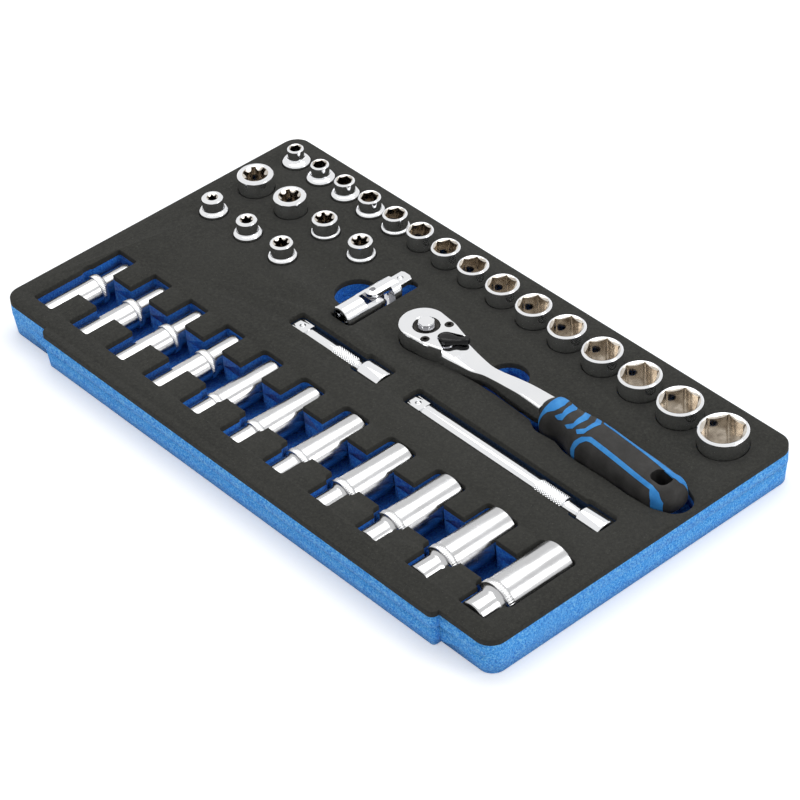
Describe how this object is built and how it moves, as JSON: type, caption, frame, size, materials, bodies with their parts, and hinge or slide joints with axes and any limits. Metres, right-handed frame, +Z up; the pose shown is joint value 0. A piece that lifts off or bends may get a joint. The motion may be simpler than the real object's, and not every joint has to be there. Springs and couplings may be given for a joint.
{
  "type": "socket wrench set",
  "caption": "Two-tone foam tool tray holding a ratchet, extension bars, a universal joint and rows of hexagon and star sockets, each lifting out of its own pocket.",
  "frame": {"origin": "middle of the tray's underside", "axes": "+X along the long side to the ratchet's grip end, +Y to the upright sockets' side, +Z up out of the foam"},
  "size_m": [0.409, 0.225, 0.0389],
  "materials": {
    "blue_foam": "matte closed-cell foam with fine pores",
    "black_foam": "matte closed-cell foam with a fine skin",
    "chrome": "polished chrome plating",
    "steel": "plain steel",
    "lever_black": "black satin",
    "grip_rubber": "soft matte rubber",
    "inlay_rubber": "soft matte rubber"
  },
  "bodies": {
    "tray": {"base_sheet": "blue_foam", "middle_sheet": "blue_foam", "top_sheet": "black_foam"},
    "hex_socket_06": {"hex_socket_06": "chrome"},
    "hex_socket_07": {"hex_socket_07": "chrome"},
    "hex_socket_08": {"hex_socket_08": "chrome"},
    "hex_socket_09": {"hex_socket_09": "chrome"},
    "hex_socket_10": {"hex_socket_10": "chrome"},
    "hex_socket_11": {"hex_socket_11": "chrome"},
    "hex_socket_12": {"hex_socket_12": "chrome"},
    "hex_socket_13": {"hex_socket_13": "chrome"},
    "hex_socket_14": {"hex_socket_14": "chrome"},
    "hex_socket_15": {"hex_socket_15": "chrome"},
    "hex_socket_16": {"hex_socket_16": "chrome"},
    "hex_socket_17": {"hex_socket_17": "chrome"},
    "hex_socket_18": {"hex_socket_18": "chrome"},
    "hex_socket_19": {"hex_socket_19": "chrome"},
    "hex_socket_21": {"hex_socket_21": "chrome"},
    "star_socket_e16": {"star_socket_e16": "chrome"},
    "star_socket_e14": {"star_socket_e14": "chrome"},
    "star_socket_e12": {"star_socket_e12": "chrome"},
    "star_socket_e11": {"star_socket_e11": "chrome"},
    "star_socket_e07": {"star_socket_e07": "chrome"},
    "star_socket_e08": {"star_socket_e08": "chrome"},
    "star_socket_e10": {"star_socket_e10": "chrome"},
    "deep_socket_08": {"deep_socket_08": "chrome"},
    "deep_socket_09": {"deep_socket_09": "chrome"},
    "deep_socket_10": {"deep_socket_10": "chrome"},
    "deep_socket_11": {"deep_socket_11": "chrome"},
    "deep_socket_12": {"deep_socket_12": "chrome"},
    "deep_socket_13": {"deep_socket_13": "chrome"},
    "deep_socket_14": {"deep_socket_14": "chrome"},
    "deep_socket_15": {"deep_socket_15": "chrome"},
    "deep_socket_16": {"deep_socket_16": "chrome"},
    "deep_socket_17": {"deep_socket_17": "chrome"},
    "deep_socket_19": {"deep_socket_19": "chrome"},
    "short_bar": {"short_bar": "chrome", "short_bar_spring": "steel"},
    "short_bar_ball": {"short_bar_ball": "chrome"},
    "long_bar": {"long_bar": "chrome", "long_bar_spring": "steel"},
    "long_bar_ball": {"long_bar_ball": "chrome"},
    "universal_joint": {"joint_socket_yoke": "chrome"},
    "joint_cross": {"joint_cross": "steel"},
    "joint_drive_yoke": {"joint_drive_yoke": "chrome", "joint_spring": "steel"},
    "joint_ball": {"joint_ball": "chrome"},
    "ratchet": {"ratchet_body": "chrome", "cover_plate": "chrome", "cover_screws": "steel", "grip": "grip_rubber", "grip_inlays": "inlay_rubber"},
    "drive": {"drive_gear": "chrome", "button_spring": "steel"},
    "pawl": {"pawl": "steel"},
    "lever": {"reverse_lever": "lever_black"},
    "button": {"release_button": "chrome"},
    "lock_ball": {"lock_ball": "chrome"}
  },
  "joints": [
    {"name": "lift_hex_socket_06", "type": "slide", "parent": "tray", "child": "hex_socket_06", "axis": [0, 0, 1], "range_m": [0, 0.06]},
    {"name": "lift_hex_socket_07", "type": "slide", "parent": "tray", "child": "hex_socket_07", "axis": [0, 0, 1], "range_m": [0, 0.06]},
    {"name": "lift_hex_socket_08", "type": "slide", "parent": "tray", "child": "hex_socket_08", "axis": [0, 0, 1], "range_m": [0, 0.06]},
    {"name": "lift_hex_socket_09", "type": "slide", "parent": "tray", "child": "hex_socket_09", "axis": [0, 0, 1], "range_m": [0, 0.06]},
    {"name": "lift_hex_socket_10", "type": "slide", "parent": "tray", "child": "hex_socket_10", "axis": [0, 0, 1], "range_m": [0, 0.06]},
    {"name": "lift_hex_socket_11", "type": "slide", "parent": "tray", "child": "hex_socket_11", "axis": [0, 0, 1], "range_m": [0, 0.06]},
    {"name": "lift_hex_socket_12", "type": "slide", "parent": "tray", "child": "hex_socket_12", "axis": [0, 0, 1], "range_m": [0, 0.06]},
    {"name": "lift_hex_socket_13", "type": "slide", "parent": "tray", "child": "hex_socket_13", "axis": [0, 0, 1], "range_m": [0, 0.06]},
    {"name": "lift_hex_socket_14", "type": "slide", "parent": "tray", "child": "hex_socket_14", "axis": [0, 0, 1], "range_m": [0, 0.06]},
    {"name": "lift_hex_socket_15", "type": "slide", "parent": "tray", "child": "hex_socket_15", "axis": [0, 0, 1], "range_m": [0, 0.06]},
    {"name": "lift_hex_socket_16", "type": "slide", "parent": "tray", "child": "hex_socket_16", "axis": [0, 0, 1], "range_m": [0, 0.06]},
    {"name": "lift_hex_socket_17", "type": "slide", "parent": "tray", "child": "hex_socket_17", "axis": [0, 0, 1], "range_m": [0, 0.06]},
    {"name": "lift_hex_socket_18", "type": "slide", "parent": "tray", "child": "hex_socket_18", "axis": [0, 0, 1], "range_m": [0, 0.06]},
    {"name": "lift_hex_socket_19", "type": "slide", "parent": "tray", "child": "hex_socket_19", "axis": [0, 0, 1], "range_m": [0, 0.06]},
    {"name": "lift_hex_socket_21", "type": "slide", "parent": "tray", "child": "hex_socket_21", "axis": [0, 0, 1], "range_m": [0, 0.06]},
    {"name": "lift_star_socket_e16", "type": "slide", "parent": "tray", "child": "star_socket_e16", "axis": [0, 0, 1], "range_m": [0, 0.06]},
    {"name": "lift_star_socket_e14", "type": "slide", "parent": "tray", "child": "star_socket_e14", "axis": [0, 0, 1], "range_m": [0, 0.06]},
    {"name": "lift_star_socket_e12", "type": "slide", "parent": "tray", "child": "star_socket_e12", "axis": [0, 0, 1], "range_m": [0, 0.06]},
    {"name": "lift_star_socket_e11", "type": "slide", "parent": "tray", "child": "star_socket_e11", "axis": [0, 0, 1], "range_m": [0, 0.06]},
    {"name": "lift_star_socket_e07", "type": "slide", "parent": "tray", "child": "star_socket_e07", "axis": [0, 0, 1], "range_m": [0, 0.06]},
    {"name": "lift_star_socket_e08", "type": "slide", "parent": "tray", "child": "star_socket_e08", "axis": [0, 0, 1], "range_m": [0, 0.06]},
    {"name": "lift_star_socket_e10", "type": "slide", "parent": "tray", "child": "star_socket_e10", "axis": [0, 0, 1], "range_m": [0, 0.06]},
    {"name": "lift_deep_socket_08", "type": "slide", "parent": "tray", "child": "deep_socket_08", "axis": [0, 0, 1], "range_m": [0, 0.06]},
    {"name": "lift_deep_socket_09", "type": "slide", "parent": "tray", "child": "deep_socket_09", "axis": [0, 0, 1], "range_m": [0, 0.06]},
    {"name": "lift_deep_socket_10", "type": "slide", "parent": "tray", "child": "deep_socket_10", "axis": [0, 0, 1], "range_m": [0, 0.06]},
    {"name": "lift_deep_socket_11", "type": "slide", "parent": "tray", "child": "deep_socket_11", "axis": [0, 0, 1], "range_m": [0, 0.06]},
    {"name": "lift_deep_socket_12", "type": "slide", "parent": "tray", "child": "deep_socket_12", "axis": [0, 0, 1], "range_m": [0, 0.06]},
    {"name": "lift_deep_socket_13", "type": "slide", "parent": "tray", "child": "deep_socket_13", "axis": [0, 0, 1], "range_m": [0, 0.06]},
    {"name": "lift_deep_socket_14", "type": "slide", "parent": "tray", "child": "deep_socket_14", "axis": [0, 0, 1], "range_m": [0, 0.06]},
    {"name": "lift_deep_socket_15", "type": "slide", "parent": "tray", "child": "deep_socket_15", "axis": [0, 0, 1], "range_m": [0, 0.06]},
    {"name": "lift_deep_socket_16", "type": "slide", "parent": "tray", "child": "deep_socket_16", "axis": [0, 0, 1], "range_m": [0, 0.06]},
    {"name": "lift_deep_socket_17", "type": "slide", "parent": "tray", "child": "deep_socket_17", "axis": [0, 0, 1], "range_m": [0, 0.06]},
    {"name": "lift_deep_socket_19", "type": "slide", "parent": "tray", "child": "deep_socket_19", "axis": [0, 0, 1], "range_m": [0, 0.06]},
    {"name": "lift_short_bar", "type": "slide", "parent": "tray", "child": "short_bar", "axis": [0, 0, 1], "range_m": [0, 0.06]},
    {"name": "lift_long_bar", "type": "slide", "parent": "tray", "child": "long_bar", "axis": [0, 0, 1], "range_m": [0, 0.06]},
    {"name": "lift_universal_joint", "type": "slide", "parent": "tray", "child": "universal_joint", "axis": [0, 0, 1], "range_m": [0, 0.06]},
    {"name": "lift_ratchet", "type": "slide", "parent": "tray", "child": "ratchet", "axis": [0, 0, 1], "range_m": [0, 0.06]},
    {"name": "short_bar_ball_press", "type": "slide", "parent": "short_bar", "child": "short_bar_ball", "axis": [0, 0, -1], "range_m": [0, 0.0007], "stiffness_N_per_m": 600, "springref_m": -0.001, "deforming": ["short_bar_spring"]},
    {"name": "long_bar_ball_press", "type": "slide", "parent": "long_bar", "child": "long_bar_ball", "axis": [0, 0, -1], "range_m": [0, 0.0007], "stiffness_N_per_m": 600, "springref_m": -0.001, "deforming": ["long_bar_spring"]},
    {"name": "joint_tilt", "type": "hinge", "parent": "universal_joint", "child": "joint_cross", "pos_m": [-0.0495, 0.0375, 0.0235], "axis": [1, 0, 0], "range_deg": [0, 60]},
    {"name": "joint_swing", "type": "hinge", "parent": "joint_cross", "child": "joint_drive_yoke", "pos_m": [-0.0495, 0.0375, 0.0235], "axis": [0, 0, 1], "range_deg": [-3, 3]},
    {"name": "joint_ball_press", "type": "slide", "parent": "joint_drive_yoke", "child": "joint_ball", "axis": [0, 0, -1], "range_m": [0, 0.0007], "stiffness_N_per_m": 600, "springref_m": -0.001, "deforming": ["joint_spring"]},
    {"name": "drive_spin", "type": "hinge", "parent": "ratchet", "child": "drive", "pos_m": [-0.0005, 0.0345, 0.0177], "axis": [0, 0, 1], "continuous": true},
    {"name": "lever_turn", "type": "hinge", "parent": "ratchet", "child": "lever", "pos_m": [0.0155, 0.0345, 0.0177], "axis": [0, 0, 1], "range_deg": [-80, 0]},
    {"name": "pawl_rock", "type": "hinge", "parent": "ratchet", "child": "pawl", "pos_m": [0.0155, 0.0345, 0.0177], "axis": [0, 0, 1], "range_deg": [-15, 0]},
    {"name": "button_press", "type": "slide", "parent": "drive", "child": "button", "axis": [0, 0, -1], "range_m": [0, 0.0025], "stiffness_N_per_m": 600, "springref_m": -0.001, "deforming": ["button_spring"]},
    {"name": "lock_ball_slide", "type": "slide", "parent": "drive", "child": "lock_ball", "axis": [1, 0, 0], "range_m": [0, 0.0007]}
  ],
  "couplings": [
    {"joint": "pawl_rock", "follows": "lever_turn", "ratio": 0.1875},
    {"joint": "lock_ball_slide", "follows": "button_press", "ratio": 0.28}
  ]
}
